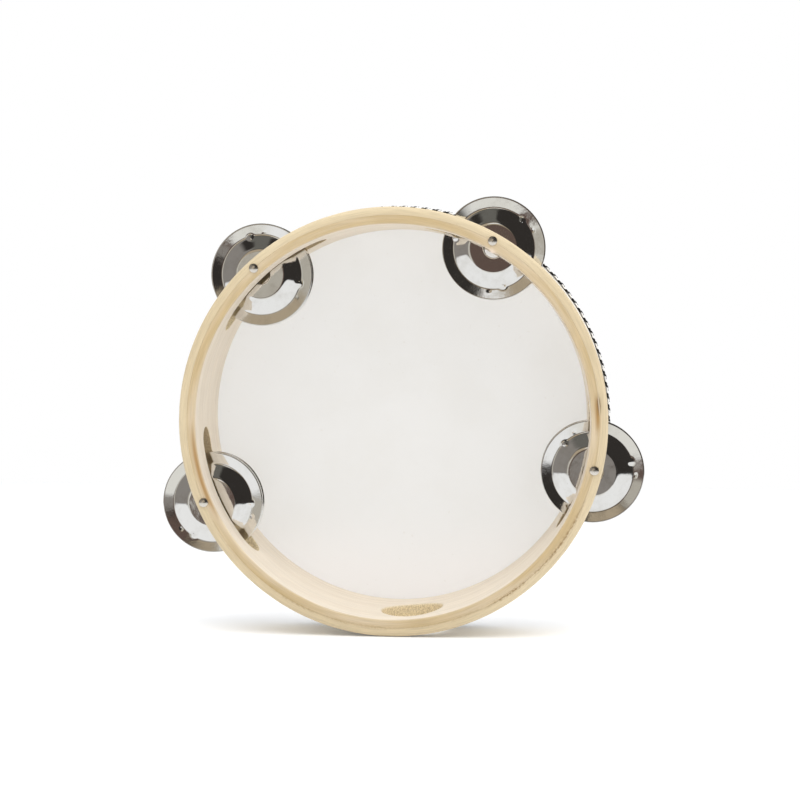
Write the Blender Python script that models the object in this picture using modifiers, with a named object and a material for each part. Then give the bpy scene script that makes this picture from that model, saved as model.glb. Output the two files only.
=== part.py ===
"""Small wooden tambourine, standing on its rim with the open side facing -Y.

A hoop of two laminated wood strips carries a skin head on its rear edge and a
braid round the lapped skin. Four slots through the hoop each hold a pair of
stamped jingles, loose on a nail driven in from the open edge, and a thumb hole
takes the fifth place. Sizes are in metres.
"""

import math

import bmesh
import bpy
from mathutils import Vector

# Fit of touching pieces, and the distance at which mesh points are one
CLEARANCE = 0.0003
WELD = 0.00001

# Hoop
HOOP_DIAMETER = 0.150
OUTER_STRIP = 0.00285
INNER_STRIP = 0.00285
OUTER_ROUND_WIDTH = 0.0016
OUTER_ROUND_DEPTH = 0.0012
INNER_ROUND_WIDTH = 0.0012
INNER_ROUND_DEPTH = 0.0010
REAR_ROUND = 0.0010
EDGE_BAND = 0.012
REAR_BAND = 0.016

# Places round the hoop, in degrees from +X, seen from the open side
THUMB_HOLE_ANGLE = 275.1
JINGLE_ANGLES = (347.2, 60.9, 131.7, 203.2)
THUMB_HOLE_DIAMETER = 0.022

# Jingles
JINGLE_DIAMETER = 0.0366
JINGLE_VALLEY_DIAMETER = 0.0278
JINGLE_TOP_DIAMETER = 0.0180
JINGLE_HOLE_DIAMETER = 0.0068
JINGLE_HEIGHT = 0.0036
JINGLE_SHEET = 0.0005
JINGLE_RIM_RISE = 0.0006
JINGLE_BEND = 0.0010
JINGLE_PLAY = 0.0012
SLOT_END_ROOM = 0.0061

# Nails
NAIL_DIAMETER = 0.0024
NAIL_HEAD_DIAMETER = 0.0034
NAIL_HEAD_RISE = 0.0008
NAIL_POINT = 0.0030
NAIL_TIP_COVER = 0.007

# Drumhead and braid
HEAD_THICKNESS = 0.0004
HEAD_LAP = 0.0080
BRAID_WIDTH = 0.0095
BRAID_THICKNESS = 0.0012
BRAID_SETBACK = 0.0006
BRAID_BEVEL = 0.0004

# Facets round each turned piece
HOOP_STEPS = 96
JINGLE_STEPS = 28
NAIL_STEPS = 16
HOLE_STEPS = 48
SLOT_END_STEPS = 8
ROUND_STEPS = 3

# Sizes that follow from the ones above
HOOP_RADIUS = HOOP_DIAMETER / 2
GLUE_OUTER_RADIUS = HOOP_RADIUS - OUTER_STRIP
GLUE_INNER_RADIUS = GLUE_OUTER_RADIUS - CLEARANCE
HOOP_INNER_RADIUS = GLUE_INNER_RADIUS - INNER_STRIP
NAIL_CIRCLE_RADIUS = (GLUE_OUTER_RADIUS + GLUE_INNER_RADIUS) / 2
SLOT_WIDTH = 2 * JINGLE_HEIGHT + 4 * JINGLE_PLAY
SLOT_LENGTH = JINGLE_DIAMETER + 2 * SLOT_END_ROOM
SLOT_HEIGHT = REAR_BAND + SLOT_WIDTH / 2
HOOP_DEPTH = REAR_BAND + SLOT_WIDTH + EDGE_BAND
NAIL_RADIUS = NAIL_DIAMETER / 2
JINGLE_HANG = JINGLE_HOLE_DIAMETER / 2 - NAIL_RADIUS - CLEARANCE
SKIRT_RADIUS = HOOP_RADIUS + CLEARANCE
BRAID_INNER_RADIUS = SKIRT_RADIUS + HEAD_THICKNESS + CLEARANCE
BRAID_OUTER_RADIUS = BRAID_INNER_RADIUS + BRAID_THICKNESS


def clear_scene():
    """Remove every object that the opened file holds."""
    for old in list(bpy.data.objects):
        bpy.data.objects.remove(old, do_unlink=True)


def new_collection(name):
    """Make a collection in the scene."""
    collection = bpy.data.collections.new(name)
    bpy.context.scene.collection.children.link(collection)
    return collection


def new_material(name, colour, roughness, metallic=0.0):
    """Make a plain Principled material."""
    material = bpy.data.materials.new(name)
    material.use_nodes = True
    shader = material.node_tree.nodes["Principled BSDF"]
    shader.inputs["Base Color"].default_value = (*colour, 1.0)
    shader.inputs["Roughness"].default_value = roughness
    shader.inputs["Metallic"].default_value = metallic
    return material


def new_object(name, data, collection, parent):
    """Add an object to a collection, under a parent."""
    made = bpy.data.objects.new(name, data)
    collection.objects.link(made)
    made.parent = parent
    return made


def new_empty(name, parent, location=(0, 0, 0), turn=(0, 0, 0)):
    """Add an empty that places other objects."""
    made = new_object(name, None, parts, parent)
    made.empty_display_size = 0.01
    made.location = location
    made.rotation_euler = turn
    return made


def arc(centre, radii, start, end):
    """Points of a quarter round, from one angle in degrees to another."""
    angles = [math.radians(start + (end - start) * i / ROUND_STEPS) for i in range(ROUND_STEPS + 1)]
    return [(centre[0] + radii[0] * math.cos(a), centre[1] + radii[1] * math.sin(a)) for a in angles]


def turned(name, profile, steps, collection, parent, closed=False):
    """Turn a profile of (radius, height) points about Z, a facet centred on each axis."""
    start = math.pi / steps
    vertices = [(r * math.cos(start), r * math.sin(start), z) for r, z in profile]
    edges = [(i, i + 1) for i in range(len(profile) - 1)]
    if closed:
        edges.append((len(profile) - 1, 0))
    mesh = bpy.data.meshes.new(name)
    mesh.from_pydata(vertices, edges, [])
    made = new_object(name, mesh, collection, parent)
    screw = made.modifiers.new("turn", "SCREW")
    screw.axis = "Z"
    screw.angle = math.tau
    screw.steps = steps
    screw.render_steps = steps
    screw.use_merge_vertices = True
    screw.merge_threshold = WELD
    screw.use_smooth_shade = True
    return made


def as_cutter(made):
    """Hide an object that only cuts others."""
    made.hide_render = True
    made.display_type = "WIRE"
    return made


def cut(target, cutter):
    """Subtract a cutter from an object."""
    boolean = target.modifiers.new("cut_" + cutter.name, "BOOLEAN")
    boolean.operation = "DIFFERENCE"
    boolean.solver = "EXACT"
    boolean.object = cutter


def outline_mesh(name, points, half_thickness):
    """Extrude a flat closed outline to a welded mesh."""
    curve = bpy.data.curves.new(name + "_outline", "CURVE")
    curve.dimensions = "2D"
    curve.fill_mode = "BOTH"
    curve.extrude = half_thickness
    spline = curve.splines.new("POLY")
    spline.points.add(len(points) - 1)
    for point, (x, y) in zip(spline.points, points):
        point.co = (x, y, 0, 1)
    spline.use_cyclic_u = True
    holder = bpy.data.objects.new(name + "_outline", curve)
    bpy.context.scene.collection.objects.link(holder)
    bpy.context.view_layer.update()
    evaluated = holder.evaluated_get(bpy.context.evaluated_depsgraph_get())
    mesh = bpy.data.meshes.new_from_object(evaluated)
    mesh.name = name
    welded = bmesh.new()
    welded.from_mesh(mesh)
    bmesh.ops.remove_doubles(welded, verts=welded.verts, dist=WELD)
    bmesh.ops.recalc_face_normals(welded, faces=welded.faces)
    welded.to_mesh(mesh)
    welded.free()
    bpy.data.objects.remove(holder, do_unlink=True)
    bpy.data.curves.remove(curve)
    return mesh


def stadium(length, width):
    """Outline of a slot with round ends, along X."""
    radius = width / 2
    reach = length / 2 - radius
    points = []
    for side, first in ((1, -90), (-1, 90)):
        for i in range(SLOT_END_STEPS + 1):
            angle = math.radians(first + 180 * i / SLOT_END_STEPS)
            points.append((side * reach + radius * math.cos(angle), radius * math.sin(angle)))
    return points


def jingle_pins():
    """Place of each jingle nail on the hoop's face, as (angle, across, up)."""
    angles = [math.radians(a) for a in JINGLE_ANGLES]
    return [(a, NAIL_CIRCLE_RADIUS * math.cos(a), NAIL_CIRCLE_RADIUS * math.sin(a)) for a in angles]


def hoop_placing():
    """Where the hoop's rear centre goes, so that the part's foot is centred on the origin."""
    across = [x for _, x, _ in jingle_pins()]
    front = HOOP_DEPTH + NAIL_HEAD_RISE
    rear = -CLEARANCE - HEAD_THICKNESS
    foot = BRAID_OUTER_RADIUS * math.cos(math.pi / HOOP_STEPS)
    return Vector((-(min(across) + max(across)) / 2, (front + rear) / 2, foot))


clear_scene()
parts = new_collection("tambourine")
cutters = new_collection("cutters")

outer_wood = new_material("outer_wood", (0.76, 0.62, 0.40), 0.55)
inner_wood = new_material("inner_wood", (0.78, 0.66, 0.47), 0.55)
skin = new_material("skin", (0.82, 0.81, 0.77), 0.5)
braid_yarn = new_material("braid_yarn", (0.03, 0.03, 0.03), 0.8)
bright_steel = new_material("bright_steel", (0.62, 0.61, 0.59), 0.2, 1.0)
nickel = new_material("nickel", (0.66, 0.65, 0.62), 0.12, 1.0)

# The hoop's rear centre, turned so that local +Z runs out of the open side
axis = new_empty("hoop_axis", None, hoop_placing(), (math.radians(90), 0, 0))

# Each jingle's place: local X runs outward, local Z along the nail to the open side
stations = []
for number, (angle, x, y) in enumerate(jingle_pins(), start=1):
    stations.append(new_empty(f"jingle_place_{number}", axis, (x, y, SLOT_HEIGHT), (0, 0, angle)))

# Thumb hole cutter, along the hoop's radius
hole_angle = math.radians(THUMB_HOLE_ANGLE)
hole_place = new_empty("thumb_hole_place", axis, (0, 0, SLOT_HEIGHT), (0, 0, hole_angle))
bpy.ops.mesh.primitive_cylinder_add(
    vertices=HOLE_STEPS, radius=THUMB_HOLE_DIAMETER / 2, depth=HOOP_RADIUS
)
hole_cutter = as_cutter(bpy.context.object)
hole_cutter.name = "thumb_hole_cutter"
for collection in list(hole_cutter.users_collection):
    collection.objects.unlink(hole_cutter)
cutters.objects.link(hole_cutter)
hole_cutter.parent = hole_place
hole_cutter.location = (HOOP_RADIUS, 0, 0)
hole_cutter.rotation_euler = (0, math.radians(90), 0)

# Slot cutters, and bores for the nails with a seat for each head
slot_mesh = outline_mesh("slot_cutter", stadium(SLOT_LENGTH, SLOT_WIDTH), JINGLE_DIAMETER / 2)
edge_height = SLOT_WIDTH / 2 + EDGE_BAND
tip_height = -SLOT_WIDTH / 2 - REAR_BAND + NAIL_TIP_COVER
bore_radius = NAIL_RADIUS + CLEARANCE
seat_radius = NAIL_HEAD_DIAMETER / 2 + CLEARANCE
bore_profile = [
    (0, edge_height + NAIL_HEAD_RISE),
    (seat_radius, edge_height + NAIL_HEAD_RISE),
    (seat_radius, edge_height - CLEARANCE),
    (bore_radius, edge_height - CLEARANCE),
    (bore_radius, tip_height - CLEARANCE),
    (0, tip_height - CLEARANCE),
]
hoop_cutters = [hole_cutter]
for number, station in enumerate(stations, start=1):
    slot_cutter = as_cutter(new_object(f"slot_cutter_{number}", slot_mesh, cutters, station))
    slot_cutter.rotation_euler = (math.radians(90), 0, math.radians(90))
    bore_cutter = as_cutter(turned(f"bore_cutter_{number}", bore_profile, NAIL_STEPS, cutters, station))
    hoop_cutters += [slot_cutter, bore_cutter]

# Outer strip of the hoop, rounded at the open edge and where the skin turns over
outer_profile = [(GLUE_OUTER_RADIUS, 0), (GLUE_OUTER_RADIUS, HOOP_DEPTH)]
outer_profile += arc(
    (HOOP_RADIUS - OUTER_ROUND_WIDTH, HOOP_DEPTH - OUTER_ROUND_DEPTH),
    (OUTER_ROUND_WIDTH, OUTER_ROUND_DEPTH), 90, 0,
)
outer_profile += arc((HOOP_RADIUS - REAR_ROUND, REAR_ROUND), (REAR_ROUND, REAR_ROUND), 0, -90)
outer_strip = turned("hoop_outer_strip", outer_profile, HOOP_STEPS, parts, axis, closed=True)
outer_strip.data.materials.append(outer_wood)

# Inner strip of the hoop, glued inside the outer one
inner_profile = arc(
    (HOOP_INNER_RADIUS + INNER_ROUND_WIDTH, HOOP_DEPTH - INNER_ROUND_DEPTH),
    (INNER_ROUND_WIDTH, INNER_ROUND_DEPTH), 180, 90,
)
inner_profile += [(GLUE_INNER_RADIUS, HOOP_DEPTH), (GLUE_INNER_RADIUS, 0), (HOOP_INNER_RADIUS, 0)]
inner_strip = turned("hoop_inner_strip", inner_profile, HOOP_STEPS, parts, axis, closed=True)
inner_strip.data.materials.append(inner_wood)

for strip in (outer_strip, inner_strip):
    for cutter in hoop_cutters:
        cut(strip, cutter)

# Drumhead, a skin drawn over the rear edge and lapped up the outside
bend = REAR_ROUND + CLEARANCE
outer_bend = bend + HEAD_THICKNESS
bend_centre = (HOOP_RADIUS - REAR_ROUND, REAR_ROUND)
head_profile = [(0, -CLEARANCE)]
head_profile += arc(bend_centre, (bend, bend), -90, 0)
head_profile += [(SKIRT_RADIUS, HEAD_LAP), (SKIRT_RADIUS + HEAD_THICKNESS, HEAD_LAP)]
head_profile += arc(bend_centre, (outer_bend, outer_bend), 0, -90)
head_profile += [(0, -CLEARANCE - HEAD_THICKNESS)]
drumhead = turned("drumhead", head_profile, HOOP_STEPS, parts, axis)
drumhead.data.materials.append(skin)

# Braid, a flat band glued over the lapped skin
braid_top = BRAID_SETBACK + BRAID_WIDTH
braid_profile = [
    (BRAID_INNER_RADIUS, BRAID_SETBACK),
    (BRAID_INNER_RADIUS, braid_top),
    (BRAID_OUTER_RADIUS - BRAID_BEVEL, braid_top),
    (BRAID_OUTER_RADIUS, braid_top - BRAID_BEVEL),
    (BRAID_OUTER_RADIUS, BRAID_SETBACK + BRAID_BEVEL),
    (BRAID_OUTER_RADIUS - BRAID_BEVEL, BRAID_SETBACK),
]
braid = turned("braid_trim", braid_profile, HOOP_STEPS, parts, axis, closed=True)
braid.data.materials.append(braid_yarn)

# Nails, with a domed head at the open edge and a point in the wood behind the slot
nail_profile = [(0, edge_height + NAIL_HEAD_RISE)]
nail_profile += arc((0, edge_height), (NAIL_HEAD_DIAMETER / 2, NAIL_HEAD_RISE), 90, 0)[1:]
nail_profile += [
    (NAIL_RADIUS, edge_height),
    (NAIL_RADIUS, tip_height + NAIL_POINT),
    (0, tip_height),
]
for number, station in enumerate(stations, start=1):
    nail = turned(f"nail_{number}", nail_profile, NAIL_STEPS, parts, station)
    nail.data.materials.append(bright_steel)

# Jingles, stamped cups hung on the nails back to back, each midway in its half of the slot
top_radius = JINGLE_TOP_DIAMETER / 2
valley_radius = JINGLE_VALLEY_DIAMETER / 2
wall_slope = (JINGLE_HEIGHT - JINGLE_SHEET) / (valley_radius - top_radius)
jingle_profile = [
    (JINGLE_HOLE_DIAMETER / 2, JINGLE_HEIGHT),
    (top_radius - JINGLE_BEND / 2, JINGLE_HEIGHT),
    (top_radius + JINGLE_BEND / 2, JINGLE_HEIGHT - wall_slope * JINGLE_BEND / 2),
    (valley_radius - JINGLE_BEND / 2, JINGLE_SHEET + wall_slope * JINGLE_BEND / 2),
    (valley_radius + JINGLE_BEND / 2, JINGLE_SHEET),
    (JINGLE_DIAMETER / 2, JINGLE_SHEET + JINGLE_RIM_RISE),
]
for number, station in enumerate(stations, start=1):
    angle = math.radians(JINGLE_ANGLES[number - 1])
    hang = (-JINGLE_HANG * math.sin(angle), -JINGLE_HANG * math.cos(angle))
    for side, height, turn in (("front", JINGLE_PLAY, 0), ("rear", -JINGLE_PLAY, 180)):
        jingle = turned(f"jingle_{number}_{side}", jingle_profile, JINGLE_STEPS, parts, station)
        jingle.location = (*hang, height)
        jingle.rotation_euler = (math.radians(turn), 0, 0)
        sheet = jingle.modifiers.new("sheet", "SOLIDIFY")
        sheet.thickness = JINGLE_SHEET
        sheet.offset = -1
        sheet.use_even_offset = True
        jingle.data.materials.append(nickel)
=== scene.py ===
"""A small wooden tambourine, standing on its rim with the open side to the camera.

Every piece is a surface worked out in the hoop's own terms: the angle round its axis, the distance
from that axis and the depth behind the open edge. Sizes are in metres, and angles are in radians
where nothing else is said.
"""

import bmesh
import bpy
import numpy as np
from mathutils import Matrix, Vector


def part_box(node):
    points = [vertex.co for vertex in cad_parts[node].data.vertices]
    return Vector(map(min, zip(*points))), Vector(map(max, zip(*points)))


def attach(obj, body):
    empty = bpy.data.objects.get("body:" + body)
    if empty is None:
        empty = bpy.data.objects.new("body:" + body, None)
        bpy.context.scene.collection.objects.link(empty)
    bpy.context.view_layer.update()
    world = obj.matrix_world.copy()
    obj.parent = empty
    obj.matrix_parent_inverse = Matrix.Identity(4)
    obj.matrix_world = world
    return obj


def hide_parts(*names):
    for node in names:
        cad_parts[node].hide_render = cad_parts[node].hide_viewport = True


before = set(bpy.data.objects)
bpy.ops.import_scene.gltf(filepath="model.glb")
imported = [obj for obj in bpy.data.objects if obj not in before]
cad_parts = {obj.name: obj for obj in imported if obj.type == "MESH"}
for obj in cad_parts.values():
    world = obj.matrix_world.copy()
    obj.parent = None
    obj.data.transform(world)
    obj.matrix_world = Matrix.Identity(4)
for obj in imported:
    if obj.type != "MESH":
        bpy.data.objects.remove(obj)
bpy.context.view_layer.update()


# The hoop: two bent strips of pale hardwood, one glued inside the other and sanded round at the open edge.
# Each is a closed surface with a stadium slot for every pair of jingles and a round thumb hole, cut
# straight through both; its wood is drawn in the flat board's terms, along, across and through the strip.

hoop_low, hoop_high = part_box("hoop_outer_strip")
HOOP_X, HOOP_Z = (hoop_low.x + hoop_high.x) / 2, (hoop_low.z + hoop_high.z) / 2
OPEN_EDGE = hoop_low.y
HOOP_DEPTH = hoop_high.y - hoop_low.y
HOOP_RADIUS = (hoop_high.x - hoop_low.x) / 2
HOOP_INNER_RADIUS, GLUE_RADIUS, GLUE_LINE = 0.0690, 0.0720, 0.00002
OUTER_SEAM, INNER_SEAM = np.radians(238.0), np.radians(22.0)

# The cuts, and the steps of the grid round them and over a strip's section.
CUT_DEPTH, CUT_FAN, CUT_BEVEL, GLUED_BEVEL = 0.0180, 0.0060, 0.0003, 0.00002
SLOT_HALF_STRAIGHT, SLOT_ROUND, SLOT_EASE = 0.0184, 0.0060, 1.0
THUMB_ANGLE, THUMB_ROUND, THUMB_EASE = np.radians(275.1), 0.0110, 2.6
QUARTER_STEPS, STRAIGHT_STEPS, PLAIN_STEP, COLUMN_ROWS = 10, 22, 0.026, 7
BEVEL_STEPS, WALL_STEPS, EDGE_STEPS, FACE_STEPS = 4, 6, 8, 4
TOUCHING = 1e-7

# The strips' rounded edges, each as its width and its drop.
OUTER_OPEN_ROUND, OUTER_REAR_ROUND = (0.0016, 0.0012), (0.0010, 0.0010)
INNER_OPEN_ROUND, INNER_REAR_ROUND = (0.0007, 0.0006), (0.0003, 0.0003)
GLUED_OPEN_ROUND, GLUED_REAR_ROUND = (0.00006, 0.00008), (0.0001, 0.0001)

# Marks of making and wear, and the slots' painted shade. Places and spreads round the hoop are in degrees;
# a glue stain then has its strength and a warm stain its radius. The painted shade on a slot's sawn reveals
# stands in for the shade there and fades near that end of a slot which is farther round the hoop.
OPEN_GLUE_PLACE, OPEN_GLUE_SPREAD, OPEN_GLUE_WIDTH = 5.5, 2.2, 0.00040
SPLINTER_PLACE, SPLINTER_SPREAD, SPLINTER_RISE, SPLINTER_DROP = 59.6, 1.1, 0.0007, 0.0009
GLUE_STAINS = ((315.0, 25.0, 0.9), (248.0, 36.0, 0.35), (135.0, 180.0, 0.06))
GLUE_STAIN_WIDTH, SAWN_GLUE = 0.00055, 0.3
WARM_STAINS = ((195.5, 14.0, 0.0700), (2.865, 4.584, 0.0713))
WARM_STAIN_WIDTH = 0.0008
# The slots' painted shade: where it ends and how it fades along a slot, and its least share.
SLOT_SHADE_END, SLOT_SHADE_FADE, SLOT_SHADE_LEAST = 0.0205, 0.0060, 0.2


def on_hoop(angle, radius, depth):
    """Points at an angle round the hoop's axis, a radius from it and a depth behind the open edge."""
    x, y, z = HOOP_X + radius * np.cos(angle), OPEN_EDGE + depth, HOOP_Z + radius * np.sin(angle)
    return np.stack(np.broadcast_arrays(x, y, z), axis=-1)


def hoop_angle(node_name):
    """The angle round the hoop at which a CAD node's middle sits."""
    low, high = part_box(node_name)
    return np.arctan2((low.z + high.z) / 2 - HOOP_Z, (low.x + high.x) / 2 - HOOP_X)


def near_angle(theta, place, spread):
    """A flat-topped bump from 0 to 1 round a place on the hoop; place and spread are in degrees."""
    away = (theta - np.radians(place) + np.pi) % (2 * np.pi) - np.pi
    return np.exp(-((away / np.radians(spread)) ** 4))


def grid_mesh(name, grids, sharp_degrees, keeps=None, **coords):
    """One object of quads from point grids whose edges meet, welded, with its faces turned outward.

    coords gives each stored coordinate as one array per grid, kept per face corner so that it may jump
    at a seam; keeps marks the quads of each grid that are made.
    """
    quads, start = [], 0
    for number, grid in enumerate(grids):
        index = np.arange(grid.shape[0] * grid.shape[1]).reshape(grid.shape[:2]) + start
        cells = np.stack([index[:-1, :-1], index[1:, :-1], index[1:, 1:], index[:-1, 1:]], axis=-1)
        quads.append(cells[keeps[number]] if keeps else cells.reshape(-1, 4))
        start += index.size
    used, quads = np.unique(np.concatenate(quads), return_inverse=True)
    points = np.concatenate([grid.reshape(-1, 3) for grid in grids])[used]
    mesh = bpy.data.meshes.new(name)
    mesh.from_pydata(points, [], quads.reshape(-1, 4))
    for title, arrays in coords.items():
        values = np.concatenate([array.reshape(-1, 3) for array in arrays])[used][quads.ravel()]
        layer = mesh.attributes.new(title, "FLOAT_VECTOR", "CORNER")
        layer.data.foreach_set("vector", values.astype(np.float32).ravel())
    work = bmesh.new()
    work.from_mesh(mesh)
    bmesh.ops.remove_doubles(work, verts=work.verts, dist=TOUCHING)
    bmesh.ops.recalc_face_normals(work, faces=work.faces)
    work.to_mesh(mesh)
    work.free()
    mesh.shade_smooth()
    mesh.set_sharp_from_angle(angle=np.radians(sharp_degrees))
    piece = bpy.data.objects.new(name, mesh)
    bpy.context.scene.collection.objects.link(piece)
    return piece


def cut_columns(angle, half, radius, ease):
    """The grid's columns over one cut, a stadium of half straight length and end radius.

    Their rows are the cut's angle, the offset along it, the outline's outward direction (along, across) as
    minus cosine and sine of a turn from 0 to pi, the outline's radius, the wider one that it fans out to,
    and how much its rims are eased.
    """
    turn = np.linspace(0, np.pi, 2 * QUARTER_STEPS + 1)
    shift = np.zeros_like(turn)
    if half:
        straight = np.linspace(-half, half, STRAIGHT_STEPS + 1)[1:-1]
        first, last = turn[: QUARTER_STEPS + 1], turn[QUARTER_STEPS:]
        turn = np.concatenate([first, np.full_like(straight, np.pi / 2), last])
        shift = np.concatenate([np.full_like(first, -half), straight, np.full_like(last, half)])
    rows = [angle, shift, -np.cos(turn), np.sin(turn), radius, radius + CUT_FAN, ease]
    return np.stack(np.broadcast_arrays(*rows))


def plain_columns(start, end):
    """The grid's columns from one angle to another where there is no cut: all their other rows are 0."""
    angle = np.linspace(start, end, int((end - start) / PLAIN_STEP) + 3)
    return np.pad(angle[None, :], ((0, COLUMN_ROWS - 1), (0, 0)))


def hoop_columns(seam, cuts):
    """The grid's columns once round from the seam, over the cuts and between them."""
    columns, at = [], seam
    for cut in sorted(((angle - seam) % (2 * np.pi) + seam, *size) for angle, *size in cuts):
        angle, half, radius, _ = cut
        reach = np.arcsin((half + radius + CUT_FAN) / HOOP_INNER_RADIUS)
        columns += [plain_columns(at, angle - reach)[:, :-1], cut_columns(*cut)]
        at = angle + reach
    columns.append(plain_columns(at, seam + 2 * np.pi)[:, 1:])
    return np.concatenate(columns, axis=1)[..., None]


def profile(radius, inset=0.0, share=0.0, growth=0.0, drop=0.0, sanded=0.0, sawn=0.0):
    """A stretch of a band's section: its radius and the change of that in a cut's rim, the share of the way
    from the cut to the band's edge, the growth of the cut's outline, the depth from the edge, and how much
    it is sanded or sawn."""
    return np.stack(np.broadcast_arrays(radius, inset, share, growth, drop, sanded, sawn))


def strip_section(inner, outer, bevels, rounds):
    """The closed section of one band of a strip: out of the cut, along the inner wall to the band's edge,
    over that edge and back along the outer wall. Bevels and roundings are quarter ellipses."""
    (inner_bevel, outer_bevel), ((inner_width, inner_drop), (outer_width, outer_drop)) = bevels, rounds
    turn = np.linspace(0, np.pi / 2, BEVEL_STEPS + 1)
    fall, grow, sawn = 1 - np.cos(turn), 1 - np.sin(turn), np.sin(turn) ** 3
    reveal_in = profile(inner, inset=inner_bevel * fall, growth=inner_bevel * grow, sawn=sawn)
    reveal_out = profile(outer, inset=-outer_bevel * fall, growth=outer_bevel * grow, sawn=sawn)
    rise = np.linspace(0, 1, WALL_STEPS + 1)[1:-1]
    wall_in = profile(inner, share=rise, growth=inner_bevel, drop=inner_drop)
    wall_out = profile(outer, share=rise, growth=outer_bevel, drop=outer_drop)
    turn = np.linspace(0, np.pi / 2, EDGE_STEPS + 1)
    fall, grow, sanded = 1 - np.cos(turn), 1 - np.sin(turn), np.sin(turn) ** 0.5
    edge_in = profile(inner + inner_width * fall, share=1.0, drop=inner_drop * grow, sanded=sanded)
    edge_out = profile(outer - outer_width * fall, share=1.0, drop=outer_drop * grow, sanded=sanded)
    across = np.linspace(inner + inner_width, outer - outer_width, FACE_STEPS + 1)[1:-1]
    face = profile(across, share=1.0, sanded=1.0)
    way_out = [reveal_out, reveal_in[:, ::-1], wall_in, edge_in, face]
    way_back = [edge_out[:, ::-1], wall_out[:, ::-1], reveal_out[:, :1]]
    return np.concatenate(way_out + way_back, axis=1)


NAIL_NAMES = ("nail_1", "nail_2", "nail_3", "nail_4")
hoop_cuts = [(hoop_angle(name), SLOT_HALF_STRAIGHT, SLOT_ROUND, SLOT_EASE) for name in NAIL_NAMES]
hoop_cuts.append((THUMB_ANGLE, 0.0, THUMB_ROUND, THUMB_EASE))


def bent_strip(name, seam, inner, outer, bevels, open_rounds, rear_rounds):
    """A strip bent into a ring: two bands, before and behind the line of cuts, that part round each cut.

    A point lies on its column at offset = t + direction * r, with r fanning from the outline's radius to a
    wider one at the band's edge; its angle is the cut's angle plus the arcsine of offset over radius. It
    stores its place in the flat board, (sanded, sawn, torn) and (glue stain, warm stain, open glue), where
    sawn goes on from 1 to 2 with the painted shade on a slot's reveals.
    """
    angle, middle, along, across, radius, fan, ease = hoop_columns(seam, hoop_cuts)
    # Painted shade on the slots' sawn reveals, full over most of a slot and fading to its least near the
    # farther end.
    slot_shade = np.clip((SLOT_SHADE_END - middle - along * radius) / SLOT_SHADE_FADE, SLOT_SHADE_LEAST, 1)
    slot_shade = slot_shade * (radius == SLOT_ROUND)
    grids, boards, worked, glued, keeps = [], [], [], [], []
    for side, rounds in ((-1, open_rounds), (1, rear_rounds)):
        section = strip_section(inner, outer, bevels, rounds)
        distance, inset, share, growth, drop, sanded, sawn = section[:, None, :]
        distance = distance + inset * ease
        reach = radius + growth * ease
        theta = angle + np.arcsin((middle + along * (reach + (fan - reach) * share)) / distance)
        edge = drop if side < 0 else HOOP_DEPTH - drop
        depth = (1 - share) * (CUT_DEPTH + side * across * reach) + share * edge
        opened, torn = np.zeros_like(depth), np.zeros_like(depth)
        if side < 0:
            opened = np.exp(-np.abs(distance - GLUE_RADIUS) / OPEN_GLUE_WIDTH) * sanded * share
            opened = opened * near_angle(theta, OPEN_GLUE_PLACE, OPEN_GLUE_SPREAD)
            distance = distance + np.sign(distance - GLUE_RADIUS) * OPEN_GLUE_WIDTH * opened
            torn = np.exp(-(((distance - HOOP_INNER_RADIUS) / SPLINTER_RISE) ** 2)) * share
            torn = torn * (drop < SPLINTER_DROP) * near_angle(theta, SPLINTER_PLACE, SPLINTER_SPREAD)
            distance = distance - SPLINTER_RISE * torn
        line = np.exp(-(((distance - GLUE_RADIUS) / GLUE_STAIN_WIDTH) ** 2)) * (sanded + SAWN_GLUE * sawn)
        line = line * sum(strength * near_angle(theta, *where) for *where, strength in GLUE_STAINS)
        warm = sanded * sum(
            np.exp(-(((distance - at) / WARM_STAIN_WIDTH) ** 2)) * near_angle(theta, *where)
            for *where, at in WARM_STAINS
        )
        grids.append(on_hoop(theta, distance, depth))
        boards.append(np.stack([theta * GLUE_RADIUS, depth, distance - GLUE_RADIUS], axis=-1))
        # The sawn share runs on above 1 with the slots' painted shade.
        worked.append(np.stack(np.broadcast_arrays(sanded, sawn * (1 + slot_shade), torn), axis=-1))
        glued.append(np.stack([line, warm, opened], axis=-1))
        whole = (across[:-1, 0] < TOUCHING) & (across[1:, 0] < TOUCHING)
        reveal = (section[2, :-1] == 0) & (section[2, 1:] == 0)
        keeps.append(~(whole[:, None] & reveal[None, :]))
    return grid_mesh(name, grids, sharp_degrees=40, keeps=keeps, board=boards, worked=worked, glued=glued)


outer_strip = bent_strip(
    "wood_outer_strip",
    OUTER_SEAM,
    inner=GLUE_RADIUS + GLUE_LINE / 2,
    outer=HOOP_RADIUS,
    bevels=(GLUED_BEVEL, CUT_BEVEL),
    open_rounds=(GLUED_OPEN_ROUND, OUTER_OPEN_ROUND),
    rear_rounds=(GLUED_REAR_ROUND, OUTER_REAR_ROUND),
)
inner_strip = bent_strip(
    "wood_inner_strip",
    INNER_SEAM,
    inner=HOOP_INNER_RADIUS,
    outer=GLUE_RADIUS - GLUE_LINE / 2,
    bevels=(CUT_BEVEL, GLUED_BEVEL),
    open_rounds=(INNER_OPEN_ROUND, GLUED_OPEN_ROUND),
    rear_rounds=(INNER_REAR_ROUND, GLUED_REAR_ROUND),
)


def node(tree, kind, inputs=None, **settings):
    """A shader node with these settings; an input given as a socket is linked, and any other is set."""
    made = tree.nodes.new("ShaderNode" + kind)
    for title, value in settings.items():
        setattr(made, title, value)
    for title, value in (inputs or {}).items():
        if isinstance(value, bpy.types.NodeSocket):
            tree.links.new(value, made.inputs[title])
        else:
            made.inputs[title].default_value = value
    return made


def maths(tree, operation, first, second=0.0, third=0.0):
    """The socket of a Math node."""
    return node(tree, "Math", {0: first, 1: second, 2: third}, operation=operation).outputs[0]


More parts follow.
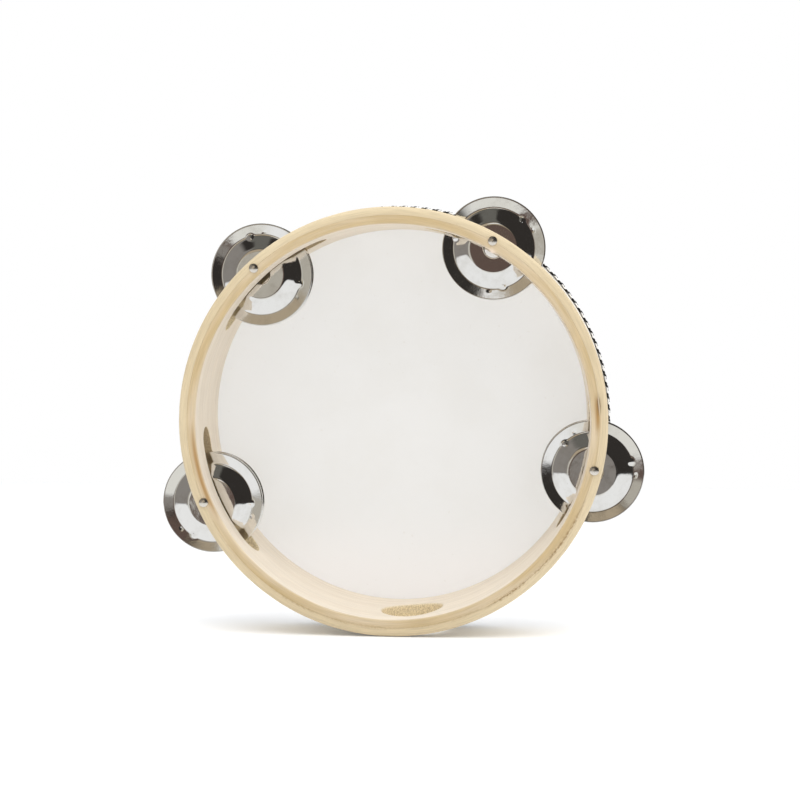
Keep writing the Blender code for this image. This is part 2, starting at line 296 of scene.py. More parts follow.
def weighted(tree, *terms):
    """The sum of some values, each given with its weight."""
    total = 0.0
    for value, weight in terms:
        total = maths(tree, "MULTIPLY_ADD", value, weight, total)
    return total


def streaks(tree, vector, scale, detail=2.0, roughness=0.5):
    """Noise from 0 to 1, drawn out by its own scale along each axis, in cycles per metre."""
    drawn = node(tree, "VectorMath", {0: vector, 1: scale}, operation="MULTIPLY").outputs[0]
    settings = {"Vector": drawn, "Scale": 1.0, "Detail": detail, "Roughness": roughness}
    return node(tree, "TexNoise", settings).outputs[0]


def ramp(tree, value, low, high, start=0.0, end=1.0):
    """A smooth step from start to end while value goes from low to high."""
    settings = {"Value": value, "From Min": low, "From Max": high, "To Min": start, "To Max": end}
    return node(tree, "MapRange", settings, interpolation_type="SMOOTHSTEP").outputs[0]


def mix(tree, factor, first, second, blend_type="MIX"):
    """A colour mixed from two others."""
    made = node(tree, "Mix", {0: factor, 6: first, 7: second}, data_type="RGBA", blend_type=blend_type)
    return made.outputs[2]


def shader_group(name, inputs, outputs):
    """A shader node group with typed sockets; gives the group and its input and output sockets."""
    group = bpy.data.node_groups.new(name, "ShaderNodeTree")
    for title, kind in inputs.items():
        group.interface.new_socket(title, in_out="INPUT", socket_type="NodeSocket" + kind)
    for title, kind in outputs.items():
        group.interface.new_socket(title, in_out="OUTPUT", socket_type="NodeSocket" + kind)
    return group, group.nodes.new("NodeGroupInput").outputs, group.nodes.new("NodeGroupOutput").inputs


def new_material(name):
    """A material with its node tree and its Principled shader's inputs."""
    material = bpy.data.materials.new(name)
    material.use_nodes = True
    tree = material.node_tree
    return material, tree, tree.nodes["Principled BSDF"].inputs


def stored(tree, name):
    """The vector that a mesh stores under a name."""
    return node(tree, "Attribute", attribute_name=name).outputs["Vector"]


# Noise scales in cycles per metre along, across and through the board, each noise's share in the late
# wood's tone, the tones and roughness of what was done to the wood, and the slots' painted shade.
WANDER_SCALE, RING_SCALE, RING_WANDER = (9, 60, 60), (0, 260, 900), 2.6
FIBRE_SCALE, FLECK_SCALE, BLOTCH_SCALE = (110, 4200, 4200), (480, 3200, 3200), (22, 70, 200)
RING_SHARE, FIBRE_SHARE, FLECK_SHARE, BLOTCH_SHARE = 0.55, 0.50, 0.30, -0.45
PORE_SCALE, RUN_SCALE, BREAK_SCALE = (1900, 1900, 1900), (45, 300, 300), (900, 1500, 1500)
GLUE_BROWN, WARM_STAIN, OPEN_GLUE = (0.28, 0.165, 0.06, 1), (0.40, 0.225, 0.07, 1), (0.16, 0.09, 0.04, 1)
SAWN_DARK, SAWN_LIGHT, SAWN_SHARE = (0.64, 0.50, 0.28, 1), (0.94, 0.79, 0.51, 1), 0.85
# A painted shade tone multiplied into the slots' reveals, and the tone of fresh torn wood.
SLOT_SHADE_TONE, TORN_WOOD = (0.42, 0.36, 0.27, 1), (0.93, 0.78, 0.66, 1)
WOOD_ROUGH, FIBRE_ROUGH, RING_DIP = 0.50, 0.30, -0.4

wood_vectors = dict.fromkeys(("Board", "Worked", "Glued"), "Vector")
wood_tones = dict.fromkeys(("Early", "Late", "Edge"), "Color")
bent_wood, wood_in, wood_out = shader_group(
    "bent_wood", wood_vectors | wood_tones, {"Color": "Color", "Roughness": "Float", "Height": "Float"}
)
board = wood_in["Board"]
sanded_share, sawn_share, torn_share = node(bent_wood, "SeparateXYZ", {0: wood_in["Worked"]}).outputs
line_share, warm_share, open_share = node(bent_wood, "SeparateXYZ", {0: wood_in["Glued"]}).outputs

ring_place = node(bent_wood, "VectorMath", {0: board, 1: RING_SCALE}, operation="DOT_PRODUCT").outputs[1]
ring_place = weighted(bent_wood, (ring_place, 1.0), (streaks(bent_wood, board, WANDER_SCALE), RING_WANDER))
ring_settings = {"W": ring_place, "Scale": 1.0, "Detail": 2.0}
ring_noise = node(bent_wood, "TexNoise", ring_settings, noise_dimensions="1D").outputs[0]
rings = ramp(bent_wood, ring_noise, low=0.36, high=0.70)
fibres = streaks(bent_wood, board, FIBRE_SCALE, detail=3.0)
flecks = ramp(bent_wood, streaks(bent_wood, board, FLECK_SCALE), low=0.66, high=0.74)
blotches = streaks(bent_wood, board, BLOTCH_SCALE, detail=3.0)
late_share = weighted(
    bent_wood, (rings, RING_SHARE), (fibres, FIBRE_SHARE), (blotches, BLOTCH_SHARE), (flecks, FLECK_SHARE)
)
wood_colour = mix(bent_wood, late_share, wood_in["Early"], wood_in["Late"])

bare_edge = ramp(bent_wood, blotches, low=0.35, high=0.75, end=0.4)
edge_tone = mix(bent_wood, bare_edge, wood_in["Edge"], wood_colour)
wood_colour = mix(bent_wood, sanded_share, wood_colour, edge_tone)
pores = ramp(bent_wood, streaks(bent_wood, board, PORE_SCALE, detail=3.0), low=0.36, high=0.64)
sawn_tone = mix(bent_wood, pores, SAWN_DARK, SAWN_LIGHT)
# The slots' sawn reveals are darkened by a painted shade as the sawn share runs from 1 to 2.
slot_shade_share = ramp(bent_wood, sawn_share, low=1.0, high=2.0)
sawn_tone = mix(bent_wood, slot_shade_share, sawn_tone, SLOT_SHADE_TONE, "MULTIPLY")
sawn_share = maths(bent_wood, "MULTIPLY", maths(bent_wood, "MINIMUM", sawn_share, 1.0), SAWN_SHARE)
wood_colour = mix(bent_wood, sawn_share, wood_colour, sawn_tone)

runs = streaks(bent_wood, board, RUN_SCALE, detail=3.0)
warm_runs = ramp(bent_wood, runs, low=0.30, high=0.55, start=0.35)
broken = ramp(bent_wood, streaks(bent_wood, board, BREAK_SCALE), low=0.42, high=0.60, start=0.25)
glue_runs = maths(bent_wood, "MULTIPLY", ramp(bent_wood, runs, low=0.34, high=0.58), broken)
wood_colour = mix(bent_wood, maths(bent_wood, "MULTIPLY", line_share, glue_runs), wood_colour, GLUE_BROWN)
wood_colour = mix(bent_wood, maths(bent_wood, "MULTIPLY", warm_share, warm_runs), wood_colour, WARM_STAIN)
wood_colour = mix(bent_wood, open_share, wood_colour, OPEN_GLUE)
fibre_shade = ramp(bent_wood, fibres, low=0.30, high=0.66, start=0.90, end=1.06)
shaded = {0: wood_colour, "Scale": fibre_shade}
wood_colour = node(bent_wood, "VectorMath", shaded, operation="SCALE").outputs[0]
wood_colour = mix(bent_wood, torn_share, wood_colour, TORN_WOOD)
wood_rough = maths(bent_wood, "MULTIPLY_ADD", fibres, FIBRE_ROUGH, WOOD_ROUGH)
bent_wood.links.new(wood_colour, wood_out["Color"])
bent_wood.links.new(wood_rough, wood_out["Roughness"])
bent_wood.links.new(weighted(bent_wood, (fibres, 1.0), (rings, RING_DIP)), wood_out["Height"])

# Each strip's material slot and its early, late and edge tones.
OUTER_TONES = ((0.82, 0.70, 0.49, 1), (0.72, 0.58, 0.37, 1), (0.66, 0.54, 0.35, 1))
INNER_TONES = ((0.845, 0.762, 0.645, 1), (0.785, 0.692, 0.565, 1), (0.565, 0.425, 0.228, 1))
WOODS = ((outer_strip, "outer_wood", OUTER_TONES), (inner_strip, "inner_wood", INNER_TONES))
for strip, slot, tones in WOODS:
    material, tree, shader = new_material(slot)
    grain = node(tree, "Group", node_tree=bent_wood)
    for title in wood_vectors:
        tree.links.new(stored(tree, title.lower()), grain.inputs[title])
    for title, tone in zip(wood_tones, tones):
        grain.inputs[title].default_value = tone
    bump = node(tree, "Bump", {"Height": grain.outputs["Height"], "Strength": 0.5, "Distance": 0.00006})
    tree.links.new(grain.outputs["Color"], shader["Base Color"])
    tree.links.new(grain.outputs["Roughness"], shader["Roughness"])
    tree.links.new(bump.outputs[0], shader["Normal"])
    shader["Specular IOR Level"].default_value = 0.35
    strip.data.materials.append(material)
    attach(strip, "hoop")
    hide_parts(strip.name.replace("wood", "hoop"))


# The drumhead: a thin white skin drawn over the hoop's rear edge and lapped round its outside.
# It is a turned sheet with rounded rims; the lap puckers a little where the flat skin was gathered in.

HEAD_THICKNESS, HEAD_BEND = 0.0004, 0.0013
HEAD_INNER_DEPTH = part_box("drumhead")[1].y - OPEN_EDGE - HEAD_THICKNESS
SKIRT_RADIUS, SKIRT_LAP = 0.0753, 0.0080
FLAT_STEPS, BEND_STEPS, LAP_STEPS, RIM_STEPS, ROUND_STEPS = 24, 8, 8, 6, 384
PUCKERS, PUCKER_RISE, PUCKER_SWAYS, PUCKER_SWAY = 64, 0.00012, 5, 2.2
WIDE_PUCKERS, WIDE_PUCKER_SHARE = 41, 0.6


def full_turn(steps):
    """Angles once round a circle, as a column."""
    return np.linspace(0, 2 * np.pi, steps + 1)[:, None]


def drumhead_section():
    """The skin's closed section from its middle inside, out to the lap's rim and back to its middle
    outside, as radius and depth; the two faces stay one thickness apart."""
    turn = np.linspace(-np.pi / 2, 0, BEND_STEPS + 1)
    bend_radius, bend_depth = SKIRT_RADIUS - HEAD_BEND, HEAD_INNER_DEPTH - HEAD_BEND
    flat = np.linspace(0, bend_radius, FLAT_STEPS + 1)[:-1]
    skirt = bend_depth - (SKIRT_LAP - HEAD_BEND) * np.linspace(0, 1, LAP_STEPS + 1)[1:]
    faces = []
    for size in (HEAD_BEND, HEAD_BEND + HEAD_THICKNESS):
        radius = [flat, bend_radius + size * np.cos(turn), np.full_like(skirt, bend_radius + size)]
        depth = [np.full_like(flat, bend_depth + size), bend_depth - size * np.sin(turn), skirt]
        faces.append(np.stack([np.concatenate(radius), np.concatenate(depth)]))
    rim = np.linspace(-np.pi / 2, np.pi / 2, RIM_STEPS + 1)[1:-1]
    rim_radius = SKIRT_RADIUS + HEAD_THICKNESS / 2 * (1 + np.sin(rim))
    rim_depth = skirt[-1] - HEAD_THICKNESS / 2 * np.cos(rim)
    return np.concatenate([faces[0], np.stack([rim_radius, rim_depth]), faces[1][:, ::-1]], axis=1)


round_hoop = full_turn(ROUND_STEPS)
head_radius, head_depth = drumhead_section()[:, None, :]
lapped = np.clip((HEAD_INNER_DEPTH - head_depth) / SKIRT_LAP, 0, 1)
pucker = np.cos(PUCKERS * round_hoop + PUCKER_SWAY * np.sin(PUCKER_SWAYS * round_hoop))
pucker = pucker + WIDE_PUCKER_SHARE * np.cos(WIDE_PUCKERS * round_hoop)
head_points = on_hoop(round_hoop, head_radius + PUCKER_RISE * lapped * pucker, head_depth)
drumhead = grid_mesh("white_drumhead", [head_points], sharp_degrees=60)

HEAD_WHITE, HEAD_CLOUD = (0.866, 0.861, 0.848, 1), (0.836, 0.828, 0.808, 1)
# The specks' tone, then a paler tone painted onto the skin's foot as painted light, and the heights over
# which it fades.
HEAD_SPECK, HEAD_FOOT_LIGHT = (0.65, 0.60, 0.52, 1), (0.900, 0.886, 0.872, 1)
FOOT_LIGHT_FROM, FOOT_LIGHT_TO, CLOUD_SHARE, SPECK_SHARE = 0.012, 0.045, 0.5, 0.15
CLOUD_SCALE, HAIR_SCALE, SPECK_SCALE = (38, 38, 38), (900, 900, 240), (650, 650, 650)
HEAD_GLOW = 0.74
material, tree, shader = new_material("skin")
place = node(tree, "TexCoord").outputs["Object"]
cloud = ramp(tree, streaks(tree, place, CLOUD_SCALE, detail=4.0, roughness=0.6), low=0.38, high=0.72)
specks = ramp(tree, streaks(tree, place, SPECK_SCALE, detail=1.0), low=0.74, high=0.80)
colour = mix(tree, maths(tree, "MULTIPLY", cloud, CLOUD_SHARE), HEAD_WHITE, HEAD_CLOUD)
# Painted light: the skin's lower part is painted paler, fading out between two heights.
height = node(tree, "SeparateXYZ", {0: place}).outputs[2]
foot_light = ramp(tree, height, FOOT_LIGHT_FROM, FOOT_LIGHT_TO, start=1.0, end=0.0)
colour = mix(tree, foot_light, colour, HEAD_FOOT_LIGHT)
colour = mix(tree, maths(tree, "MULTIPLY", specks, SPECK_SHARE), colour, HEAD_SPECK)
tree.links.new(colour, shader["Base Color"])
tree.links.new(ramp(tree, cloud, low=0.0, high=1.0, start=0.52, end=0.66), shader["Roughness"])
hairs = streaks(tree, place, HAIR_SCALE, detail=3.0)
bump = node(tree, "Bump", {"Height": hairs, "Strength": 0.25, "Distance": 0.00005})
tree.links.new(bump.outputs[0], shader["Normal"])
shader["Specular IOR Level"].default_value = 0.3
glow = node(tree, "BsdfTranslucent", {"Color": colour})
sheen = tree.nodes["Principled BSDF"]
thin_skin = node(tree, "MixShader", {0: HEAD_GLOW, 1: sheen.outputs[0], 2: glow.outputs[0]})
tree.links.new(thin_skin.outputs[0], tree.nodes["Material Output"].inputs["Surface"])
drumhead.data.materials.append(material)
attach(drumhead, "hoop")
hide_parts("drumhead")


# The braid: a flat plait of six soft yarns, black and white in turn, glued over the lapped skin.
# Each yarn zigzags across the band, over one crossing yarn and under the next, on a white backing tape
# that is bedded on the wood before the skin's lap.

BRAID_INNER_RADIUS, BRAID_OUTER_RADIUS = 0.0760, 0.0772
BRAID_NEAR_DEPTH, BRAID_FAR_DEPTH = 0.0299, 0.0394
BRAID_REPEATS, YARNS, STEPS_PER_REPEAT, YARN_SIDES = 39, 6, 40, 8
BLACK_HALF_WIDTH, WHITE_HALF_WIDTH = 0.00078, 0.00092
ZIGZAG_SHARPNESS, SIDE_CHANGE, YARN_TAKE_UP = 0.97, 3.0, 1.4
TAPE_THICKNESS, TAPE_BED_RADIUS, TAPE_BED_DEPTH, TAPE_WEAVE = 0.0002, 0.07503, 0.0319, 100.0


def yarn(number):
    """One yarn of the plait: an ellipse carried along depth = zigzag(s), radius = a wave that changes side
    at each crossing, for s in repeats round the hoop; gives its points and their (length, turn, black)."""
    s = np.linspace(0, BRAID_REPEATS, BRAID_REPEATS * STEPS_PER_REPEAT + 1)[:, None]
    turn = full_turn(YARN_SIDES).T
    phase = 2 * np.pi * (s - number / YARNS)
    black = 1 - number % 2
    half_width = BLACK_HALF_WIDTH if black else WHITE_HALF_WIDTH
    layer = (BRAID_OUTER_RADIUS - BRAID_INNER_RADIUS) / 4
    middle = (BRAID_OUTER_RADIUS + BRAID_INNER_RADIUS) / 2
    swing = (BRAID_FAR_DEPTH - BRAID_NEAR_DEPTH) / 2 - half_width
    zigzag = np.arcsin(-ZIGZAG_SHARPNESS * np.cos(phase)) / np.arcsin(ZIGZAG_SHARPNESS)
    depth = (BRAID_FAR_DEPTH + BRAID_NEAR_DEPTH) / 2 + swing * zigzag
    over = np.cos(YARNS * phase) * np.clip(SIDE_CHANGE * np.sin(phase), -1, 1)
    length = 2 * np.pi * middle * s / BRAID_REPEATS
    slope = np.gradient(depth[:, 0], length[:, 0])[:, None]
    slope[0] = slope[-1] = (slope[0] + slope[-1]) / 2
    lean = np.sqrt(1 + slope**2)
    sideways = half_width * np.cos(turn)
    angle = (length - sideways * slope / lean) / middle
    points = on_hoop(angle, middle + layer * over + layer * np.sin(turn), depth + sideways / lean)
    coords = [length * YARN_TAKE_UP, turn / (2 * np.pi), black]
    return points, np.stack(np.broadcast_arrays(*coords), axis=-1)


tape_under = BRAID_INNER_RADIUS - TAPE_THICKNESS
tape_section = [
    (TAPE_BED_RADIUS, BRAID_NEAR_DEPTH),
    (TAPE_BED_RADIUS, TAPE_BED_DEPTH),
    (tape_under, TAPE_BED_DEPTH),
    (tape_under, BRAID_FAR_DEPTH),
    (BRAID_INNER_RADIUS, BRAID_FAR_DEPTH),
    (BRAID_INNER_RADIUS, BRAID_NEAR_DEPTH),
    (TAPE_BED_RADIUS, BRAID_NEAR_DEPTH),
]
tape_radius, tape_depth = np.array(tape_section).T
tape_points = on_hoop(round_hoop, tape_radius, tape_depth)
tape_coords = [round_hoop * HOOP_RADIUS, tape_depth * TAPE_WEAVE, 0.0]
plait = [yarn(number) for number in range(YARNS)]
plait.append((tape_points, np.stack(np.broadcast_arrays(*tape_coords), axis=-1)))
plait_points, plait_coords = zip(*plait)
braid = grid_mesh("plaited_braid", plait_points, sharp_degrees=60, yarn=plait_coords)

YARN_BLACK, YARN_BLACK_LIT = (0.010, 0.010, 0.011, 1), (0.045, 0.043, 0.042, 1)
YARN_WHITE, YARN_WHITE_LIT = (0.86, 0.855, 0.84, 1), (0.96, 0.955, 0.94, 1)
TWISTS_PER_METRE, TWIST_SLANT, FUZZ_SCALE = 1600.0, 3.0, (5200, 5200, 5200)
material, tree, shader = new_material("braid_yarn")
along, around, black = node(tree, "SeparateXYZ", {0: stored(tree, "yarn")}).outputs
twist = weighted(tree, (along, np.pi * TWISTS_PER_METRE), (around, np.pi * TWIST_SLANT))
ply = maths(tree, "ABSOLUTE", maths(tree, "COSINE", twist))
fuzz = streaks(tree, node(tree, "TexCoord").outputs["Object"], FUZZ_SCALE)
lit = maths(tree, "MULTIPLY", ply, ramp(tree, fuzz, low=0.2, high=0.7, start=0.5))
dark_yarn = mix(tree, lit, YARN_BLACK, YARN_BLACK_LIT)
pale_yarn = mix(tree, lit, YARN_WHITE, YARN_WHITE_LIT)
tree.links.new(mix(tree, black, pale_yarn, dark_yarn), shader["Base Color"])
tree.links.new(ramp(tree, fuzz, low=0.0, high=1.0, start=0.75, end=0.95), shader["Roughness"])
bump = node(tree, "Bump", {"Height": lit, "Strength": 0.6, "Distance": 0.00012})
tree.links.new(bump.outputs[0], shader["Normal"])
shader["Specular IOR Level"].default_value = 0.15
braid.data.materials.append(material)
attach(braid, "hoop")
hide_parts("braid_trim")


# The nails: four bright steel pins driven in from the open edge, between the two strips.
# Each is turned, with a low domed head on the edge, a plain shank through the jingles and a point behind.

NAIL_RADIUS, NAIL_POINT, NAIL_SIDES, NAIL_DOME_STEPS = 0.0012, 0.0030, 32, 9
NAIL_HEAD_RADIUS, NAIL_HEAD_RISE, NAIL_HEAD_UNDER, NAIL_HEAD_SINK = 0.0017, 0.0008, 0.001649, 0.0002


def turned(low, high, radius, y, sides):
    """A section of radius and y turned once round the middle of a box, about an axis along Y."""
    angle = full_turn(sides)
    x, z = (low.x + high.x) / 2 + radius * np.cos(angle), (low.z + high.z) / 2 + radius * np.sin(angle)
    return np.stack(np.broadcast_arrays(x, y, z), axis=-1)


# Scales in cycles per metre; the scratches run upright and level.
HAZE_SCALE, SMUT_SCALE = (160, 160, 160), (2600, 2600, 2600)
UPRIGHT_SCALE, LEVEL_SCALE = (4700, 300, 380), (330, 300, 5300)
HAZE_SHARE, SMUT_SHARE, HAZE_ROUGH, SCRATCH_ROUGH, SCRATCH_DIP = 0.45, 0.50, 0.08, 0.08, -0.12
bright_metal, metal_in, metal_out = shader_group(
    "bright_metal",
    {"Place": "Vector", "Clean": "Color", "Dull": "Color", "Matt": "Float"},
    {"Color": "Color", "Roughness": "Float", "Height": "Float"},
)
place = metal_in["Place"]
haze = streaks(bright_metal, place, HAZE_SCALE, detail=4.0, roughness=0.6)
haze = ramp(bright_metal, haze, low=0.42, high=0.75)
smut = ramp(bright_metal, streaks(bright_metal, place, SMUT_SCALE, detail=1.0), low=0.72, high=0.80)
upright, level = streaks(bright_metal, place, UPRIGHT_SCALE), streaks(bright_metal, place, LEVEL_SCALE)
scratches = ramp(bright_metal, maths(bright_metal, "MAXIMUM", upright, level), low=0.66, high=0.78)
grime = weighted(bright_metal, (haze, HAZE_SHARE), (smut, SMUT_SHARE))
rough = weighted(bright_metal, (metal_in["Matt"], 1.0), (haze, HAZE_ROUGH), (scratches, SCRATCH_ROUGH))
bright_metal.links.new(mix(bright_metal, grime, metal_in["Clean"], metal_in["Dull"]), metal_out["Color"])
bright_metal.links.new(rough, metal_out["Roughness"])
bright_metal.links.new(weighted(bright_metal, (haze, 1.0), (scratches, SCRATCH_DIP)), metal_out["Height"])


def metal_material(name, clean, dull, wave, matt):
    """A bright metal with a little haze, smut and fine scratches; wave is the height of its unevenness and
    matt its least roughness."""
    material, tree, shader = new_material(name)
    worn = node(tree, "Group", node_tree=bright_metal)
    tree.links.new(node(tree, "TexCoord").outputs["Object"], worn.inputs["Place"])
    for title, value in (("Clean", clean), ("Dull", dull), ("Matt", matt)):
        worn.inputs[title].default_value = value
    bump = node(tree, "Bump", {"Height": worn.outputs["Height"], "Strength": 0.3, "Distance": wave})
    tree.links.new(worn.outputs["Color"], shader["Base Color"])
    tree.links.new(worn.outputs["Roughness"], shader["Roughness"])
    tree.links.new(bump.outputs[0], shader["Normal"])
    shader["Metallic"].default_value = 1.0
    return material


STEEL_CLEAN, STEEL_DULL = (0.78, 0.74, 0.68, 1), (0.46, 0.41, 0.34, 1)
steel = metal_material("bright_steel", STEEL_CLEAN, STEEL_DULL, wave=0.00002, matt=0.24)
dome = np.linspace(0, np.pi / 2, NAIL_DOME_STEPS + 1)
shank_radius = [NAIL_HEAD_UNDER, NAIL_RADIUS, NAIL_RADIUS, 0]
nail_radius = np.concatenate([NAIL_HEAD_RADIUS * np.sin(dome), shank_radius])
seat = OPEN_EDGE + NAIL_HEAD_SINK
for name in NAIL_NAMES:
    low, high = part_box(name)
    head_y = low.y + NAIL_HEAD_RISE * (1 - np.cos(dome))
    nail_y = np.concatenate([head_y, [seat, seat, high.y - NAIL_POINT, high.y]])
    nail_points = turned(low, high, nail_radius, nail_y, NAIL_SIDES)
    nail = grid_mesh("steel_" + name, [nail_points], sharp_degrees=50)
    nail.data.materials.append(steel)
    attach(nail, "hoop")
    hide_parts(name)


# The jingles: four pairs of stamped nickel discs, loose on the nails with their domes facing apart.
# Each is a turned sheet with a flat-topped dome and a shallow dished rim, pressed with small tabs and
# centre-punch dots, and a little out of true as thin stampings are.

JINGLE_RADIUS, VALLEY_RADIUS, TOP_RADIUS, HOLE_RADIUS = 0.0183, 0.0139, 0.0090, 0.0034
JINGLE_HEIGHT, JINGLE_SHEET, RIM_RISE, BEND_SPREAD = 0.0036, 0.0005, 0.0006, 0.0007
SHEET_STEPS, BEND_SAMPLES, JINGLE_SIDES, MARKS = 56, 15, 180, 3
TAB_RADIUS, TAB_SIZE, TAB_RISE = 0.0138, 0.0008, 0.00065
DOT_RADIUS, DOT_SIZE, DOT_DEPTH, DOT_LAG = 0.0152, 0.00035, 0.00020, 0.35
WARP, SECOND_WARP = 0.00005, 0.00003


def jingle_section():
    """The sheet's closed section: hole to rim on the outer face and back on the inner, one sheet apart.

    The under face runs over the points (hole, top), (top radius, top), (valley, 0), (rim, rise), with its
    bends softened by a moving average; gives radius and height above the valley.
    """
    half_sheet = JINGLE_SHEET / 2
    top = JINGLE_HEIGHT - JINGLE_SHEET
    knots = [0, TOP_RADIUS, VALLEY_RADIUS, 2 * JINGLE_RADIUS - VALLEY_RADIUS]
    heights = [top, top, 0, 2 * RIM_RISE]
    window = np.linspace(-BEND_SPREAD, BEND_SPREAD, BEND_SAMPLES)
    radius = np.linspace(HOLE_RADIUS + half_sheet, JINGLE_RADIUS - half_sheet, SHEET_STEPS + 1)
    under = np.interp(radius[:, None] + window, knots, heights).mean(axis=1)
    slope = np.gradient(under, radius)
    length = np.sqrt(1 + slope**2)
    face_radius, face = radius - JINGLE_SHEET * slope / length, under + JINGLE_SHEET / length
    turn = np.linspace(0, np.pi, RIM_STEPS + 1)[1:-1]
    rim_radius = (radius[-1] + face_radius[-1]) / 2 + half_sheet * np.sin(turn)
    rim = (under[-1] + face[-1]) / 2 + half_sheet * np.cos(turn)
    hole_radius = radius[0] - half_sheet * np.sin(turn)
    hole = (under[0] + face[0]) / 2 - half_sheet * np.cos(turn)
    section_radius = np.concatenate([face_radius, rim_radius, radius[::-1], hole_radius, face_radius[:1]])
    return section_radius, np.concatenate([face, rim, under[::-1], hole, face[:1]])


def marks(radius, angle, start, size, at_radius):
    """Round marks pressed at equal angles from start, as a height from 0 to 1: the bell exp(-d^2) for a
    distance of d sizes from the mark's middle."""
    step = 2 * np.pi / MARKS
    turned_by = (angle - start + step / 2) % step - step / 2
    away = np.hypot(radius - at_radius, turned_by * at_radius) / size
    return np.exp(-(away**2))


def jingle(name, facing, spin):
    """A disc whose dome faces -Y or +Y (facing -1 or 1), spun on its nail."""
    low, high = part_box(name)
    valley = high.y if facing < 0 else low.y
    radius, height = jingle_section()
    angle = full_turn(JINGLE_SIDES)
    warp = WARP * np.cos(2 * (angle - spin)) + SECOND_WARP * np.cos(3 * angle + 2 * spin)
    height = height + (radius / JINGLE_RADIUS) ** 2 * warp
    height += TAB_RISE * marks(radius, angle, spin, TAB_SIZE, TAB_RADIUS)
    height -= DOT_DEPTH * marks(radius, angle, spin - DOT_LAG, DOT_SIZE, DOT_RADIUS)
    points = turned(low, high, radius, valley + facing * height, JINGLE_SIDES)
    return grid_mesh("nickel_" + name, [points], sharp_degrees=50)


NICKEL_CLEAN, NICKEL_DULL = (0.80, 0.795, 0.78, 1), (0.62, 0.60, 0.56, 1)
nickel = metal_material("nickel", NICKEL_CLEAN, NICKEL_DULL, wave=0.00003, matt=0.05)
FRONT_SPINS, REAR_LEAD = {1: 2.36, 2: 0.77, 3: 1.86, 4: 0.0}, 1.0
for number, spin in FRONT_SPINS.items():
    for side, facing, lead in (("front", -1, 0.0), ("rear", 1, REAR_LEAD)):
        name = f"jingle_{number}_{side}"
        disc = jingle(name, facing, spin + lead)
        disc.data.materials.append(nickel)
        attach(disc, name)
        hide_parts(name)


# The studio: a white sheet that the hoop stands on, soft light all round and a darker room before the
# object, which only the bright metal shows. The camera stands a little above and to the right.

FLOOR_TOUCH_Y, FLOOR_SLOPE = 0.0099, -0.0722
FLOOR_SIDES, FLOOR_FRONT, FLOOR_BACK = 1.3, -1.2, 1.2
FLOOR_WHITE, FLOOR_GLOW, FLOOR_GLOW_TINT = (0.925, 0.93, 0.94, 1), 0.085, (0.80, 0.90, 1.0, 1)

ends = np.array([FLOOR_FRONT, FLOOR_BACK])
across = np.array([-FLOOR_SIDES, FLOOR_SIDES])
rise = FLOOR_SLOPE * (ends - FLOOR_TOUCH_Y)
corners = np.stack(np.broadcast_arrays(across[:, None], ends, rise), axis=-1)
floor = grid_mesh("floor", [corners], sharp_degrees=60)
material, tree, shader = new_material("white_sheet")
shader["Base Color"].default_value = FLOOR_WHITE
shader["Emission Color"].default_value = FLOOR_GLOW_TINT
camera_ray = node(tree, "LightPath").outputs["Is Camera Ray"]
tree.links.new(maths(tree, "MULTIPLY", camera_ray, FLOOR_GLOW), shader["Emission Strength"])
shader["Roughness"].default_value = 0.9
shader["Specular IOR Level"].default_value = 0.0
floor.data.materials.append(material)
floor.visible_glossy = False

LEFT_LIGHT, RIGHT_LIGHT = (0.54, 0.54, 0.54, 1), (0.90, 0.90, 0.90, 1)
BACK_LIGHT, PLAIN_WHITE = (1.60, 1.60, 1.61, 1), (1, 1, 1, 1)
ROOM_DARK, ROOM_DIM, ROOM_BROWN = (0.035, 0.031, 0.028, 1), (0.15, 0.145, 0.13, 1), (0.13, 0.09, 0.075, 1)
ROOM_SHADE, ROOM_BEIGE, ROOM_GREY = (0.28, 0.26, 0.24, 1), (0.46, 0.38, 0.27, 1), (0.50, 0.47, 0.41, 1)
ROOM_SHEET, ROOM_WHITE = (0.84, 0.83, 0.78, 1), (0.96, 0.965, 0.965, 1)

# The room's cards, each over the ones before it: colour, left, right, bottom, top and softness, in degrees
# from the line out of the hoop.
ROOM_CARDS = (
    (ROOM_DIM, -45, 8, 35, 85, 6),
    (ROOM_BEIGE, -28, 3, 5, 30, 1.5),
    (ROOM_WHITE, -5, 3, 14, 24, 2),
    (ROOM_SHADE, -85, -30, -10, 45, 5),
    (ROOM_GREY, -32, -12.5, -9, 8, 2),
    (ROOM_SHEET, -20, -13, -9, 6, 1),
    (ROOM_WHITE, -180, 180, -90, -9, 1.5),
    (ROOM_SHEET, -12, 9, -22, -9, 3),
    (ROOM_BROWN, -12.8, 2, -9, 4, 0.8),
    (ROOM_SHADE, 1, 5, -9, -4.5, 1),
    (ROOM_GREY, -16, -6.5, -3.5, 4.5, 1),
)
world = bpy.data.worlds.new("studio")
bpy.context.scene.world = world
world.use_nodes = True
tree = world.node_tree
direction = node(tree, "SeparateXYZ", {0: node(tree, "TexCoord").outputs["Generated"]}).outputs
sideways = maths(tree, "ARCTAN2", direction[0], maths(tree, "MULTIPLY", direction[1], -1.0))
upward = maths(tree, "ARCSINE", direction[2])


def between(angle, low, high, soft):
    """A share that is 1 between two angles and softly falls to 0 beyond them."""
    above = ramp(tree, angle, low - soft, low + soft)
    below = ramp(tree, angle, high - soft, high + soft, start=1.0, end=0.0)
    return maths(tree, "MULTIPLY", above, below)


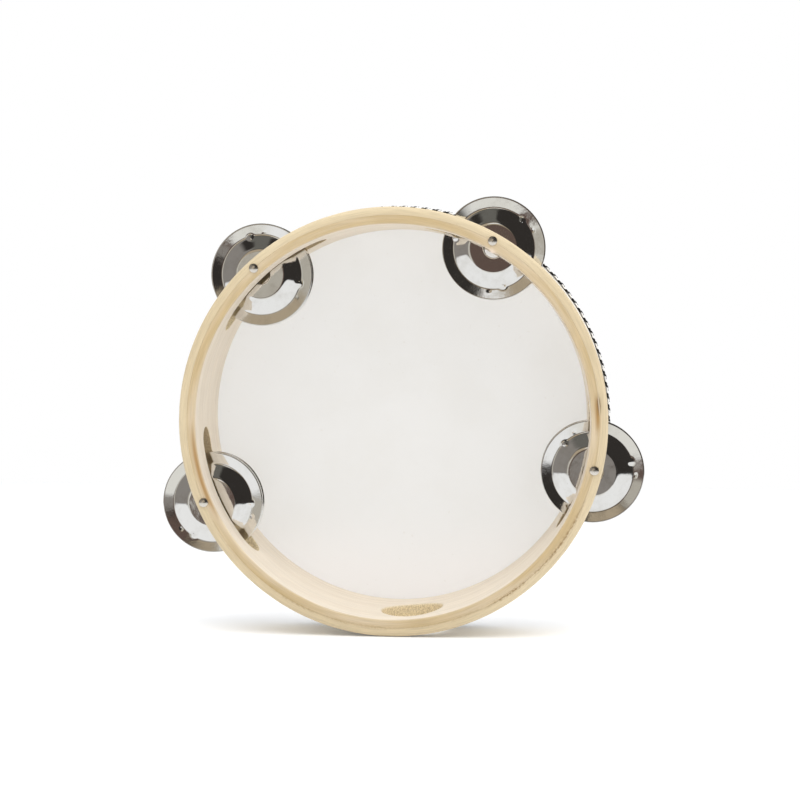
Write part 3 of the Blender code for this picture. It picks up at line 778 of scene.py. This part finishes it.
room = ROOM_DARK
for colour, *edges in ROOM_CARDS:
    left, right, bottom, top, soft = np.radians(edges)
    card = maths(tree, "MULTIPLY", between(sideways, left, right, soft), between(upward, bottom, top, soft))
    room = mix(tree, card, room, colour)
back_wall = mix(tree, ramp(tree, upward, low=0.0, high=0.5), ROOM_GREY, ROOM_DIM)
back_wall = mix(tree, ramp(tree, upward, low=-0.16, high=-0.10), ROOM_WHITE, back_wall)
room = mix(tree, ramp(tree, direction[1], low=0.0, high=0.3), room, back_wall)
light_path = node(tree, "LightPath").outputs
soft_light = mix(tree, ramp(tree, direction[0], low=-0.9, high=0.9), LEFT_LIGHT, RIGHT_LIGHT)
soft_light = mix(tree, ramp(tree, direction[1], low=0.2, high=0.8), soft_light, BACK_LIGHT)
seen = mix(tree, light_path["Is Camera Ray"], soft_light, PLAIN_WHITE)
seen = mix(tree, light_path["Is Glossy Ray"], seen, room)
tree.links.new(seen, tree.nodes["Background"].inputs["Color"])

SOFTBOX_WIDTH, SOFTBOX_DEPTH, SOFTBOX_WATTS = 1.2, 0.9, 8.2
SOFTBOX_PLACE, SOFTBOX_TARGET = Vector((0.05, -0.40, 1.1)), Vector((0, 0, 0.07))
lamp = bpy.data.lights.new("top_softbox", "AREA")
lamp.shape = "RECTANGLE"
lamp.size, lamp.size_y, lamp.energy = SOFTBOX_WIDTH, SOFTBOX_DEPTH, SOFTBOX_WATTS
softbox = bpy.data.objects.new("top_softbox", lamp)
softbox.location = SOFTBOX_PLACE
softbox.rotation_euler = (SOFTBOX_TARGET - SOFTBOX_PLACE).to_track_quat("-Z", "Y").to_euler()
softbox.visible_glossy = False
bpy.context.scene.collection.objects.link(softbox)

CAMERA_PLACE, CAMERA_AIM = Vector((0.0465, -0.5563, 0.1175)), Vector((-0.0841, 0.9947, -0.0597))
CAMERA_LENS_MM, CAMERA_SENSOR_MM = 70.0, 36.0
view = bpy.data.cameras.new("photo_view")
view.lens, view.sensor_width = CAMERA_LENS_MM, CAMERA_SENSOR_MM
camera = bpy.data.objects.new("photo_view", view)
camera.location = CAMERA_PLACE
camera.rotation_euler = CAMERA_AIM.to_track_quat("-Z", "Y").to_euler()
bpy.context.scene.collection.objects.link(camera)
bpy.context.scene.camera = camera
bpy.context.scene.view_settings.view_transform = "Standard"
